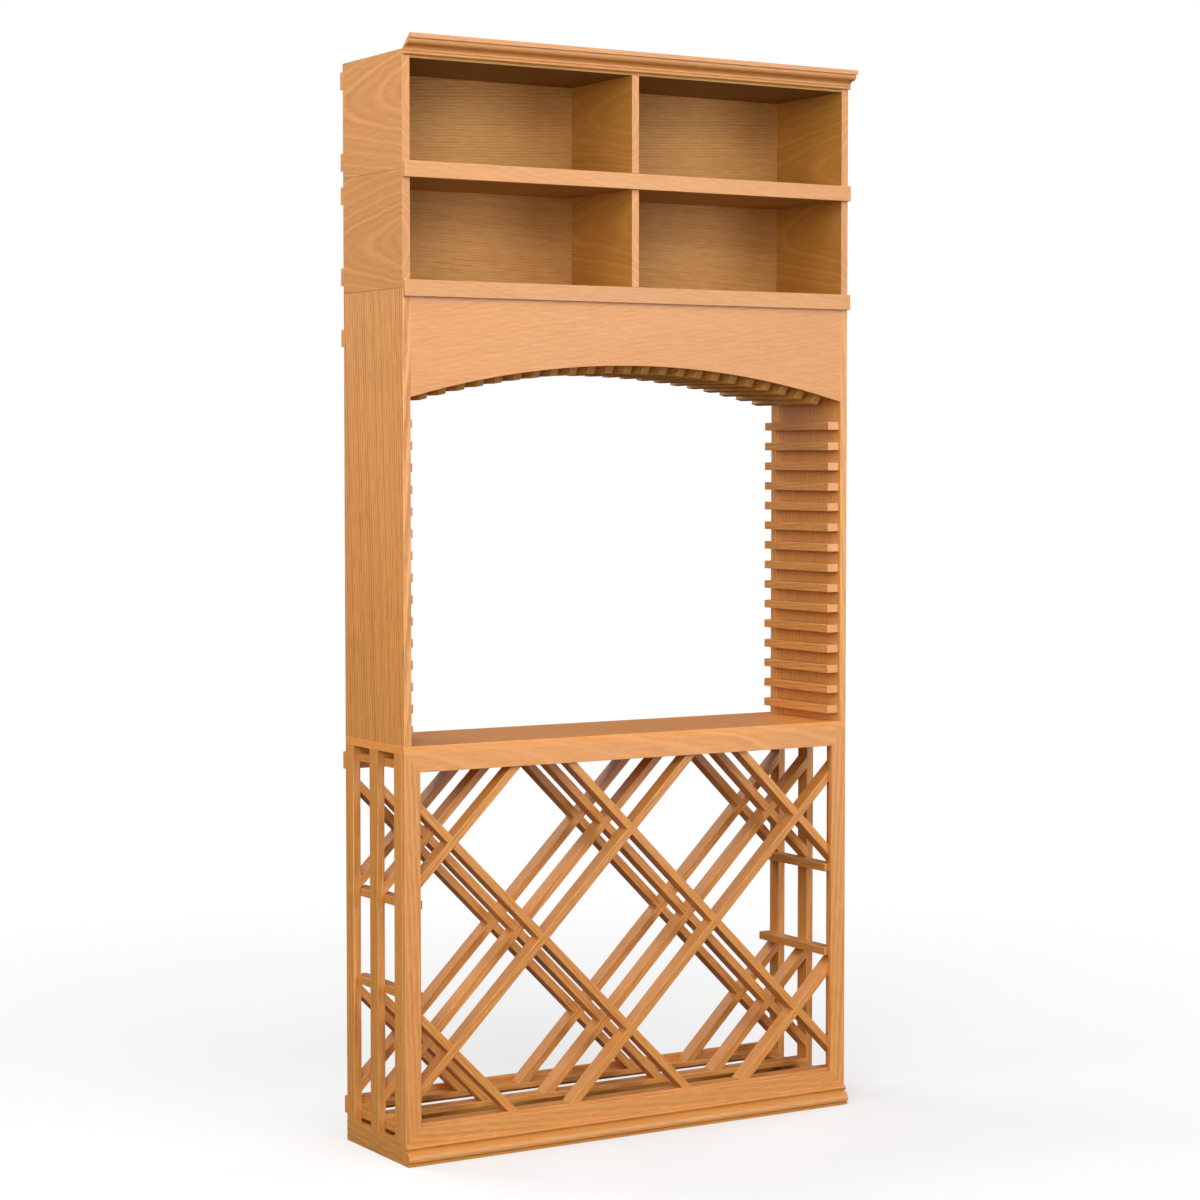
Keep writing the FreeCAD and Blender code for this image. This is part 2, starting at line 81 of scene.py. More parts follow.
class Grain(Enum):
    """Run of the fibres, as a direction in the cabinet."""

    WIDTH = (1.0, 0.0, 0.0)
    DEPTH = (0.0, 1.0, 0.0)
    HEIGHT = (0.0, 0.0, 1.0)
    RISING = (1.0, 0.0, 1.0)
    FALLING = (-1.0, 0.0, 1.0)

    @property
    def along(self) -> Vector:
        """Unit vector along the fibres."""
        return Vector(self.value).normalized()

    @property
    def square(self) -> tuple[Vector, Vector]:
        """Two unit vectors square to the fibres and to each other."""
        first = Vector((0.0, 0.0, 1.0)) if self is Grain.DEPTH else Vector((0.0, 1.0, 0.0))
        return first, self.along.cross(first)


class Cut(NamedTuple):
    """Reach of the pith from a timber's middle, and how far its figure, lines and veins show."""

    across: Span
    through: Span
    figure: float
    line: float
    vein: float


class Sawing(Enum):
    """How a timber was sawn out of its log."""

    FLAME = Cut((0.03, 0.07), (0.06, 0.10), figure=0.2, line=0.3, vein=0.7)
    STRAIGHT = Cut((0.26, 0.44), (0.18, 0.36), figure=0.08, line=0.9, vein=0.15)
    RIFT = Cut((0.26, 0.44), (0.18, 0.36), figure=0.08, line=1.8, vein=0.1)
    QUIET = Cut((0.30, 0.44), (0.20, 0.36), figure=0.3, line=0.25, vein=0.1)


class Arris(Enum):
    """Edges of a timber that are eased: all, only those along the fibres, or none."""

    ALL = 2
    LONG = 1
    NONE = 0


class Side(Enum):
    """Side of a timber's box, as an axis and an end."""

    LEFT = (0, 0)
    RIGHT = (0, 1)
    UNDER = (2, 0)
    OVER = (2, 1)


class Wire:
    """A node socket that takes part in Python arithmetic, which adds Math nodes."""

    def __init__(self, bench: "Bench", socket: bpy.types.NodeSocket) -> None:
        """Wrap a socket of the bench's tree."""
        self.bench = bench
        self.socket = socket

    def maths(self, operation: str, *feeds: Feed) -> "Wire":
        """Add one Math node.

        Args:
            operation: Blender's name of the operation.
            feeds: Values or wires, in the order of the node's sockets.

        Returns:
            Wire on the result.
        """
        return self.bench.node("ShaderNodeMath", {"operation": operation}, dict(enumerate(feeds)))

    def __add__(self, other: Feed) -> "Wire":
        """Sum."""
        return self.maths("ADD", self, other)

    def __radd__(self, other: Feed) -> "Wire":
        """Sum with a value on the left."""
        return self.maths("ADD", other, self)

    def __sub__(self, other: Feed) -> "Wire":
        """Difference."""
        return self.maths("SUBTRACT", self, other)

    def __rsub__(self, other: Feed) -> "Wire":
        """Difference from a value on the left."""
        return self.maths("SUBTRACT", other, self)

    def __mul__(self, other: Feed) -> "Wire":
        """Product."""
        return self.maths("MULTIPLY", self, other)

    def __rmul__(self, other: Feed) -> "Wire":
        """Product with a value on the left."""
        return self.maths("MULTIPLY", other, self)

    def __truediv__(self, other: Feed) -> "Wire":
        """Quotient."""
        return self.maths("DIVIDE", self, other)

    def root(self) -> "Wire":
        """Square root."""
        return self.maths("SQRT", self)

    def floor(self) -> "Wire":
        """Whole part."""
        return self.maths("FLOOR", self)

    def fract(self) -> "Wire":
        """Part behind the point."""
        return self.maths("FRACT", self)

    def sine(self) -> "Wire":
        """Sine of an angle in radians."""
        return self.maths("SINE", self)

    def cosine(self) -> "Wire":
        """Cosine of an angle in radians."""
        return self.maths("COSINE", self)

    def rise(self, low: float, high: float) -> "Wire":
        """Smooth step.

        Args:
            low: Value where the step starts from nought.
            high: Value where it reaches one.

        Returns:
            Wire on the step.
        """
        sockets = {"Value": self, "From Min": low, "From Max": high}
        return self.bench.node("ShaderNodeMapRange", {"interpolation_type": "SMOOTHSTEP"}, sockets)


class Bench:
    """Adds nodes to one shader or geometry tree."""

    MIX_COLOURS = (0, 6, 7)
    MIX_RESULT = 2

    def __init__(self, tree: bpy.types.NodeTree) -> None:
        """Work on a tree."""
        self.tree = tree

    def node(self, kind: str, settings: dict[str, Any], sockets: dict[Union[str, int], Feed],
             out: Union[str, int] = 0) -> Wire:
        """Add a node.

        Args:
            kind: Blender's type of the node.
            settings: Properties of the node, set first.
            sockets: Values or wires by the name or number of the input.
            out: Name or number of the output that is wanted.

        Returns:
            Wire on that output, or on the first input of a node without outputs.
        """
        made = self.tree.nodes.new(kind)
        for name, setting in settings.items():
            setattr(made, name, setting)
        for key, feed in sockets.items():
            if isinstance(feed, Wire):
                self.tree.links.new(feed.socket, made.inputs[key])
            else:
                made.inputs[key].default_value = feed
        return Wire(self, made.outputs[out] if made.outputs else made.inputs[0])

    def attribute(self, name: str, out: str) -> Wire:
        """Wire on a mesh attribute in a shader."""
        return self.node("ShaderNodeAttribute", {"attribute_name": name}, {}, out)

    def scaled(self, vector: Wire, scale: tuple[float, float, float]) -> Wire:
        """Wire on a vector with each part multiplied by its own scale."""
        return self.node("ShaderNodeVectorMath", {"operation": "MULTIPLY"}, {0: vector, 1: scale})

    def noise(self, vector: Wire, scale: tuple[float, float, float], detail: float = 2.0) -> Wire:
        """Add a noise texture.

        Args:
            vector: Place in the pattern.
            scale: Waves in a metre along each part of the vector.
            detail: Octaves of finer noise.

        Returns:
            Wire on the noise, about nought to one.
        """
        sockets = {"Vector": self.scaled(vector, scale), "Scale": 1.0, "Detail": detail, "Roughness": 0.5}
        return self.node("ShaderNodeTexNoise", {"noise_dimensions": "3D"}, sockets, 0)

    def mix(self, share: Feed, first: Feed, second: Feed, blend: str = "MIX") -> Wire:
        """Mix two colours.

        Args:
            share: Share of the second colour.
            first: Colour or wire.
            second: Colour or wire.
            blend: Blender's name of the blend.

        Returns:
            Wire on the colour.
        """
        feeds = (share, self.opaque(first), self.opaque(second))
        settings = {"data_type": "RGBA", "blend_type": blend}
        return self.node("ShaderNodeMix", settings, dict(zip(self.MIX_COLOURS, feeds)), self.MIX_RESULT)

    @staticmethod
    def opaque(colour: Feed) -> Feed:
        """A plain colour with its alpha, or the wire as it is."""
        return (*colour, 1.0) if isinstance(colour, tuple) else colour


@dataclass(frozen=True)
class WoodFinish:
    """Satin oiled timber in one shade, figured by its growth rings, veins, threads, fibres and pores.

    Attributes:
        name: Name of the material.
        slot: Slot of the record that it would fill; not used.
        pale: Early wood.
        dark: Late wood.
        worn_and_highlight: Veins, rubbed arrises and the painted highlight on the side slats' ends.
        ring_gap: Width of a growth ring.
        roughness: Roughness of the oiled face.
        coat: Weight of the clear coat.
        inner_shade: Colour of the painted shade multiplied into the faces that look into a bin.
    """

    name: str
    slot: str
    pale: Colour
    dark: Colour
    worn_and_highlight: Colour
    ring_gap: float = 0.009
    roughness: float = 0.4
    coat: float = 0.45
    inner_shade: Colour = (0.74, 0.81, 0.54)

    # Waves in a metre along, across and through the timber
    WANDER_WAVES = (5.0, 9.0, 9.0)
    RIPPLE_WAVES = (13.0, 34.0, 34.0)
    DASH_WAVES = (26.0, 80.0, 80.0)
    THREAD_WAVES = (30.0, 230.0, 230.0)
    FIBRE_WAVES = (14.0, 420.0, 420.0)
    PORE_WAVES = (38.0, 1300.0, 1300.0)
    CLOUD_WAVES = (2.4, 5.0, 5.0)
    WEAR_AND_HIGHLIGHT_WAVES = (24.0, 60.0, 60.0)
    FIBRE_OCTAVES = 3.0
    PORE_OCTAVES = 1.0

    # Growth rings and veins
    TAPER = 0.5
    WANDER_REACH = 0.07
    RIPPLE_REACH = 0.004
    LATE_START = (0.1, 0.6)
    LATE_END = (0.7, 1.0)
    YEAR_LEAST = 0.4
    VEIN_GAP = 0.02
    VEIN_START = (0.0, 0.1)
    VEIN_END = (0.1, 0.35)

    # Shares of the dark colour and of the pale one of veins, rubbed arrises and painted highlights
    DARK_MEAN = 0.4
    RING_DEPTH = 0.6
    RING_MEAN = 0.35
    DASH_LEAST = 0.4
    DASH_SPREAD = 1.2
    THREAD_DEPTH = 1.1
    THREAD_LEAST = 0.45
    FIBRE_DEPTH = 0.4
    PORE_STEP = (0.6, 0.75)
    PORE_SHARE = 0.3
    CLOUD_SHARE = 0.16
    VEIN_SHARE = 0.6
    WEAR_AND_HIGHLIGHT_LEAST = 0.35
    WEAR_AND_HIGHLIGHT_SPREAD = 0.6
    # Dark joints, and painted shade on the vault slats' ends
    DARK_JOINT_AND_END_SHADE = (0.28, 0.13, 0.05)

    # Gloss and relief
    LATE_ROUGH = 0.1
    FIBRE_ROUGH = 0.16
    PORE_ROUGH = 0.1
    WEAR_AND_HIGHLIGHT_SMOOTH = 0.05
    FIBRE_HEIGHT = 0.5
    LATE_DEPTH = 0.35
    PORE_DEPTH = 0.6
    BUMP_STRENGTH = 0.35
    BUMP_DEPTH = 0.0004
    INDEX = 1.46
    COAT_ROUGHNESS = 0.3

    def material(self) -> bpy.types.Material:
        """Make the material, or give the one that is there.

        Returns:
            Material that reads the board's place and the traits on a timber's mesh.
        """
        ready = bpy.data.materials.get(self.name)
        if ready:
            return ready
        made = bpy.data.materials.new(self.name)
        made.use_nodes = True
        made.node_tree.nodes.clear()
        self.shade(Bench(made.node_tree))
        return made

    def rings(self, bench: Bench, board: Wire) -> tuple[Wire, Wire]:
        """Lay out the growth rings round the pith.

        Args:
            bench: Bench of the shader.
            board: Place in the timber, from the pith.

        Returns:
            Wires on the late wood and on the pale veins of the figure, nought to one.
        """
        figure = bench.attribute("figure", "Fac")
        along = bench.node("ShaderNodeSeparateXYZ", {}, {0: board}, "X")
        across = Wire(bench, along.socket.node.outputs["Y"])
        through = Wire(bench, along.socket.node.outputs["Z"])
        wander = self.WANDER_REACH * (bench.noise(board, self.WANDER_WAVES) - 0.5)
        ripple = self.RIPPLE_REACH * (bench.noise(board, self.RIPPLE_WAVES) - 0.5)
        reach = (across * across + through * through).root() + (self.TAPER * along + wander) * figure + ripple
        count = reach / self.ring_gap
        year = bench.node("ShaderNodeTexWhiteNoise", {"noise_dimensions": "1D"}, {"W": count.floor()})
        season = count.fract()
        late = season.rise(*self.LATE_START) * (1.0 - season.rise(*self.LATE_END))
        late = late * (self.YEAR_LEAST + (1.0 - self.YEAR_LEAST) * year)
        turn = (reach / self.VEIN_GAP).fract()
        band = turn.rise(*self.VEIN_START) * (1.0 - turn.rise(*self.VEIN_END))
        vein = band * bench.attribute("vein", "Fac")
        return late, vein

    def shade(self, bench: Bench) -> None:
        """Add the nodes of the finish.

        Args:
            bench: Bench of an empty shader.
        """
        board = bench.attribute("board", "Vector")
        late, vein = self.rings(bench, board)
        dash = self.DASH_LEAST + self.DASH_SPREAD * bench.noise(board, self.DASH_WAVES)
        thread = bench.noise(board, self.THREAD_WAVES) - 0.5
        fibre = bench.noise(board, self.FIBRE_WAVES, self.FIBRE_OCTAVES) - 0.5
        pore = bench.noise(board, self.PORE_WAVES, self.PORE_OCTAVES).rise(*self.PORE_STEP)
        cloud = bench.noise(board, self.CLOUD_WAVES) - 0.5
        strength = bench.attribute("line", "Fac")
        lines = strength * self.RING_DEPTH * (late * dash - self.RING_MEAN)
        threads = (self.THREAD_LEAST + (1.0 - self.THREAD_LEAST) * strength) * self.THREAD_DEPTH * thread
        wood = bench.mix(self.DARK_MEAN + lines + threads + self.FIBRE_DEPTH * fibre, self.pale, self.dark)
        wood = bench.mix(self.VEIN_SHARE * vein, wood, self.worn_and_highlight)
        wood = bench.mix(self.PORE_SHARE * pore, wood, self.dark, "MULTIPLY")
        shade = bench.attribute("tone", "Fac") + self.CLOUD_SHARE * cloud
        wood = bench.mix(1.0, wood, shade, "MULTIPLY")
        # Painted shade on the faces that look into a bin.
        wood = bench.mix(bench.attribute("inside", "Fac"), wood, self.inner_shade, "MULTIPLY")
        # Pale colour on rubbed arrises and, as a painted highlight, on the side slats' ends; the dark joint
        # colour goes in joints and, as painted shade, on the vault slats' ends.
        arris = bench.attribute("arris", "Fac")
        rubbed = self.WEAR_AND_HIGHLIGHT_LEAST + self.WEAR_AND_HIGHLIGHT_SPREAD * bench.noise(board, self.WEAR_AND_HIGHLIGHT_WAVES)
        wear_and_highlight = arris.rise(0.0, 1.0) * rubbed
        wood = bench.mix(wear_and_highlight, wood, self.worn_and_highlight)
        wood = bench.mix((0.0 - arris).rise(0.0, 1.0), wood, self.DARK_JOINT_AND_END_SHADE)
        rough = self.roughness + self.LATE_ROUGH * late + self.FIBRE_ROUGH * fibre
        rough = rough + self.PORE_ROUGH * pore - self.WEAR_AND_HIGHLIGHT_SMOOTH * wear_and_highlight
        height = self.FIBRE_HEIGHT * fibre - self.LATE_DEPTH * late - self.PORE_DEPTH * pore
        relief = {"Strength": self.BUMP_STRENGTH, "Distance": self.BUMP_DEPTH, "Height": height}
        bump = bench.node("ShaderNodeBump", {}, relief)
        sockets = {"Base Color": wood, "Roughness": rough, "Normal": bump, "IOR": self.INDEX,
                   "Coat Weight": self.coat, "Coat Roughness": self.COAT_ROUGHNESS}
        surface = bench.node("ShaderNodeBsdfPrincipled", {}, sockets)
        bench.node("ShaderNodeOutputMaterial", {}, {"Surface": surface})


PANEL = WoodFinish("panel_oiled", "panel_wood", (0.79, 0.34, 0.088), (0.52, 0.195, 0.041), (0.84, 0.40, 0.13))
# A lighter, yellower copy of the panel wood for the right arch panel: painted light that lifts its shaded
# inner face.
JAMB = WoodFinish("jamb_oiled", "panel_wood", (0.87, 0.385, 0.087), (0.58, 0.225, 0.041), (0.86, 0.41, 0.13))
BIN = WoodFinish("bin_oiled", "panel_wood", (0.72, 0.305, 0.077), (0.47, 0.174, 0.036), (0.80, 0.375, 0.115))
BACK = WoodFinish("back_matt", "panel_wood",
                  (0.56, 0.29, 0.085), (0.38, 0.175, 0.042), (0.60, 0.32, 0.10), 0.005,
                  roughness=0.62, coat=0.0)
# The lid's underside takes a deeper painted shade than the other faces that look into the bins.
LID = replace(BACK, name="lid_matt", inner_shade=(0.42, 0.44, 0.22))
FRAME = WoodFinish("frame_oiled", "frame_wood",
                   (0.76, 0.325, 0.075), (0.50, 0.187, 0.034), (0.80, 0.38, 0.12), 0.011)
FACE = WoodFinish("face_oiled", "frame_wood",
                  (0.80, 0.344, 0.094), (0.55, 0.206, 0.044), (0.84, 0.40, 0.13), 0.011)
TABLE = replace(FACE, name="table_oiled", slot="panel_wood",
                pale=(0.89, 0.36, 0.08), dark=(0.61, 0.216, 0.037))
SLATS = WoodFinish("slat_oiled", "slat_wood",
                   (0.70, 0.302, 0.07), (0.46, 0.175, 0.033), (0.84, 0.41, 0.15), 0.006)
LATTICE = WoodFinish("lattice_oiled", "lattice_wood",
                     (0.76, 0.315, 0.07), (0.49, 0.18, 0.031), (0.80, 0.37, 0.11), 0.006,
                     coat=0.3)
# A lighter, yellower copy of the slat wood: painted light that lifts the vault's slats, which sit in the
# valance's shade.
VAULT = WoodFinish("vault_oiled", "slat_wood",
                   (0.87, 0.46, 0.105), (0.61, 0.285, 0.05), (0.86, 0.46, 0.14), 0.006)
TRIM = WoodFinish("trim_oiled", "trim_wood", (0.73, 0.327, 0.094), (0.52, 0.206, 0.05), (0.79, 0.385, 0.13))
PLINTH = WoodFinish("plinth_oiled", "trim_wood", (0.75, 0.31, 0.062), (0.51, 0.19, 0.032), (0.79, 0.36, 0.10))
DOWEL = WoodFinish("dowel_raw", "dowel_wood",
                   (0.72, 0.52, 0.33), (0.52, 0.34, 0.19), (0.78, 0.60, 0.42), 0.003,
                   roughness=0.6, coat=0.0)


@dataclass(frozen=True)
class BoardFrame:
    """Own coordinates of one timber: along its fibres, across and through it, measured from the pith."""

    along: Vector
    across: Vector
    through: Vector
    pith: Vector
    tone: float

    TONE_SPREAD = 0.045
    LOG_LENGTH = 9.0

    @classmethod
    def lay(cls, points: list[Vector], grain: Grain, sawing: Sawing, seed: str) -> "BoardFrame":
        """Saw a timber out of a log of its own.

        Args:
            points: Points of the timber.
            grain: Run of its fibres.
            sawing: How it lies in the log.
            seed: Name that settles the log.

        Returns:
            The timber's frame.
        """
        chance = random.Random(seed)
        spans = []
        for axis in grain.square:
            reach = [point.dot(axis) for point in points]
            spans.append((max(reach) - min(reach), (max(reach) + min(reach)) / 2, axis))
        (_, wide_middle, across), (_, thin_middle, through) = sorted(spans, key=lambda span: -span[0])
        offset = chance.choice((-1, 1)) * chance.uniform(*sawing.value.across)
        depth = chance.choice((-1, 1)) * chance.uniform(*sawing.value.through)
        pith = Vector((chance.uniform(0.0, cls.LOG_LENGTH), offset - wide_middle, depth - thin_middle))
        tone = 1.0 + chance.uniform(-cls.TONE_SPREAD, cls.TONE_SPREAD)
        return cls(grain.along, across, through, pith, tone)

    def local(self, point: Vector) -> Vector:
        """Place of a point in the timber."""
        return Vector((point.dot(self.along), point.dot(self.across), point.dot(self.through))) + self.pith


@dataclass(frozen=True)
class Timber:
    """How the boards of one CAD node are sawn, eased and finished.

    Attributes:
        node: The CAD node.
        finish: Its finish.
        grain: Run of the fibres.
        sawing: How the boards lie in their logs.
        arris: Which edges are eased.
        flush: Sides whose edges stay sharp, because a neighbour carries on from them.
        joint: Sides whose eased edges are a dark joint.
        inside: Sides that face into a bin, whose faces take painted shade.
        log_of: Node whose log it shares, where it does.
    """

    node: str
    finish: WoodFinish
    grain: Grain
    sawing: Sawing = Sawing.STRAIGHT
    arris: Arris = Arris.ALL
    flush: tuple[Side, ...] = ()
    joint: tuple[Side, ...] = ()
    inside: tuple[Side, ...] = ()
    log_of: str = ""

    def make(self) -> bpy.types.Object:
        """Build the timber and stand it in for its node.

        Returns:
            The finished piece.
        """
        shape = self.blank()
        eased = Shape.ease(shape, self.eased(shape))
        for number, board in enumerate(Shape.boards(shape)):
            self.mark(shape, board, number, eased)
        return Piece.finish(self.node + "_timber", Shape.mesh(shape, self.node), self.finish, self.node)

    def blank(self) -> bmesh.types.BMesh:
        """Copy of the CAD node with its triangles joined up into whole faces."""
        shape = Shape.start()
        shape.from_mesh(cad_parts[self.node].data)
        bmesh.ops.remove_doubles(shape, verts=shape.verts, dist=WELD)
        bmesh.ops.dissolve_limit(shape, angle_limit=FLAT_ANGLE, verts=shape.verts, edges=shape.edges)
        return shape

    def eased(self, shape: bmesh.types.BMesh) -> list[bmesh.types.BMEdge]:
        """Pick the edges that are eased.

        Args:
            shape: The blank.

        Returns:
            Its sharp outer edges, less the flush ones.
        """
        if self.arris is Arris.NONE:
            return []
        picked = []
        for edge in shape.edges:
            start, end = (vert.co for vert in edge.verts)
            is_long = abs((end - start).normalized().dot(self.grain.along)) > PARALLEL
            lies_flush = self.lies_on(edge.verts, self.flush, SAME_PLACE)
            if Shape.is_arris(edge) and not lies_flush and (is_long or self.arris is Arris.ALL):
                picked.append(edge)
        return picked

    def lies_on(self, verts: Iterable[bmesh.types.BMVert], sides: tuple[Side, ...], play: float) -> bool:
        """Whether all the points lie on one of the given sides of the node's box.

        Args:
            verts: Points of an edge or a face.
            sides: Sides to try.
            play: How far off the side a point may be.

        Returns:
            True if one of the sides holds them all.
        """
        for axis, end in (side.value for side in sides):
            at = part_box(self.node)[end][axis]
            if all(abs(vert.co[axis] - at) < play for vert in verts):
                return True
        return False

    def mark(self, shape: bmesh.types.BMesh, board: list[bmesh.types.BMFace], number: int,
             eased: set[bmesh.types.BMFace]) -> None:
        """Write the grain of one board on its mesh.

        Args:
            shape: The timber.
            board: Faces of the board.
            number: Place of the board in its node.
            eased: Faces of the eased arrises.
        """
        points = [vert.co for face in board for vert in face.verts]
        seed = "%s %d" % (self.node, number)
        if self.log_of:
            points = list(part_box(self.log_of))
            seed = "%s 0" % self.log_of
        arrises = {face: 1.0 for face in board if face in eased}
        for face in arrises:
            if self.lies_on(face.verts, self.joint, 2 * ARRIS_WIDTH):
                arrises[face] = -1.0
        Shape.mark(shape, board, BoardFrame.lay(points, self.grain, self.sawing, seed), self.sawing, arrises)
        # Painted shade goes on the faces that lie on the sides facing into a bin.
        inside = shape.faces.layers.float["inside"]
        for face in board:
            face[inside] = float(self.lies_on(face.verts, self.inside, SAME_PLACE))


class Shape:
    """Steps on meshes that every timber shares."""

    LOCAL = "board"
    TRAITS = ("tone", "figure", "line", "vein", "arris", "inside")

    @staticmethod
    def start() -> bmesh.types.BMesh:
        """An empty mesh with room for the marks of its boards."""
        shape = bmesh.new()
        shape.verts.layers.float_vector.new(Shape.LOCAL)
        for name in Shape.TRAITS:
            shape.faces.layers.float.new(name)
        return shape

    @staticmethod
    def is_arris(edge: bmesh.types.BMEdge) -> bool:
        """Whether an edge is sharp, points outwards and is long enough to ease."""
        if len(edge.link_faces) != 2 or not edge.is_convex:
            return False
        return edge.calc_face_angle() > SHARP_ANGLE and edge.calc_length() > SHORTEST_ARRIS

    @staticmethod
    def ease(shape: bmesh.types.BMesh, edges: list[bmesh.types.BMEdge]) -> set[bmesh.types.BMFace]:
        """Round the given edges a little.

        Args:
            shape: The mesh.
            edges: Edges to ease.

        Returns:
            The new faces.
        """
        if not edges:
            return set()
        done = bmesh.ops.bevel(shape, geom=edges, offset=ARRIS_WIDTH, offset_type="OFFSET", affect="EDGES",
                               segments=ARRIS_STEPS, profile=0.5, clamp_overlap=True)
        return set(done["faces"])

    @staticmethod
    def boards(shape: bmesh.types.BMesh) -> list[list[bmesh.types.BMFace]]:
        """Part a mesh into its separate boards.

        Args:
            shape: The mesh.

        Returns:
            Faces of each board, from the lowest left front one on.
        """
        waiting = set(shape.faces)
        found = []
        while waiting:
            reached = [waiting.pop()]
            for face in reached:
                for edge in face.edges:
                    fresh = [near for near in edge.link_faces if near in waiting]
                    waiting.difference_update(fresh)
                    reached.extend(fresh)
            found.append(reached)
        return sorted(found, key=Shape.place)

    @staticmethod
    def place(board: list[bmesh.types.BMFace]) -> tuple[float, ...]:
        """Ends of a board's box to the millimetre, by which the boards of a node are told apart."""
        points = [vert.co for face in board for vert in face.verts]
        (left, right), (front, rear), (low, high) = ((min(reach), max(reach)) for reach in zip(*points))
        return tuple(round(end, 3) for end in (low, left, high, right, front, rear))

    @staticmethod
    def mark(shape: bmesh.types.BMesh, board: Iterable[bmesh.types.BMFace], own: BoardFrame, sawing: Sawing,
             arrises: dict[bmesh.types.BMFace, float]) -> None:
        """Write a board's own coordinates and traits on its mesh.

        Args:
            shape: The mesh.
            board: Faces of the board.
            own: Frame of the board.
            sawing: How it was sawn.
            arrises: Faces of the eased arrises, one where rubbed and minus one in a joint.
        """
        local = shape.verts.layers.float_vector[Shape.LOCAL]
        layers = [shape.faces.layers.float[name] for name in Shape.TRAITS]
        cut = sawing.value
        for face in board:
            traits = (own.tone, cut.figure, cut.line, cut.vein, arrises.get(face, 0.0))
            for layer, trait in zip(layers, traits):
                face[layer] = trait
            face.smooth = face in arrises or any(Shape.is_round(edge) for edge in face.edges)
            for vert in face.verts:
                vert[local] = own.local(vert.co)

    @staticmethod
    def is_round(edge: bmesh.types.BMEdge) -> bool:
        """Whether an edge lies in a rounded face."""
        return len(edge.link_faces) == 2 and FLAT_ANGLE < edge.calc_face_angle() < SHARP_ANGLE / 2

    @staticmethod
    def mesh(shape: bmesh.types.BMesh, name: str) -> bpy.types.Mesh:
        """Turn a finished shape into a mesh.

        Args:
            shape: The shape, which is freed.
            name: Name of the mesh.

        Returns:
            The mesh.
        """
        made = bpy.data.meshes.new(name)
        for face in shape.faces:
            face.material_index = 0
        shape.to_mesh(made)
        shape.free()
        return made

    @staticmethod
    def stock(size: Vector, grain: Grain, name: str, slant: float = 0.0,
              painted_end_light: float = 0.0) -> bpy.types.Mesh:
        """Make one eased slat about the origin.

        Args:
            size: Its three lengths.
            grain: Run of its fibres.
            name: Name of the mesh.
            slant: How far its front end is cut back below.
            painted_end_light: Share of painted highlight on its ends; below nought, share of painted shade.

        Returns:
            The slat's mesh.
        """
        shape = Shape.start()
        bmesh.ops.create_cube(shape, size=1.0)
        bmesh.ops.scale(shape, vec=size, verts=shape.verts)
        for vert in shape.verts:
            if vert.co.y < 0.0 and vert.co.z < 0.0:
                vert.co.y += slant
        eased = Shape.ease(shape, list(shape.edges))
        own = BoardFrame.lay([vert.co for vert in shape.verts], grain, Sawing.STRAIGHT, name)
        Shape.mark(shape, shape.faces, own, Sawing.STRAIGHT, dict.fromkeys(eased, 1.0))
        shape.normal_update()
        # The ends take the painted highlight; a share below nought gives painted shade instead.
        for face in shape.faces:
            if face not in eased and abs(face.normal.dot(grain.along)) > END_TURN:
                face[shape.faces.layers.float["arris"]] = painted_end_light
        return Shape.mesh(shape, name)


class Piece:
    """Puts finished pieces in the scene in place of their CAD nodes."""

    @staticmethod
    def finish(name: str, mesh: bpy.types.Mesh, finish: WoodFinish, node: str) -> bpy.types.Object:
        """Put a mesh in the scene in place of its CAD node.

        Args:
            name: Name of the piece.
            mesh: Its mesh, in place.
            finish: Its finish.
            node: CAD node that it stands for.

        Returns:
            The piece.
        """
        piece = bpy.data.objects.new(name, mesh)
        bpy.context.scene.collection.objects.link(piece)
        if not mesh.materials:
            mesh.materials.append(finish.material())
        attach(piece, BODY)
        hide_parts(node)
        log.info("%s: %d faces", name, len(mesh.polygons))
        return piece


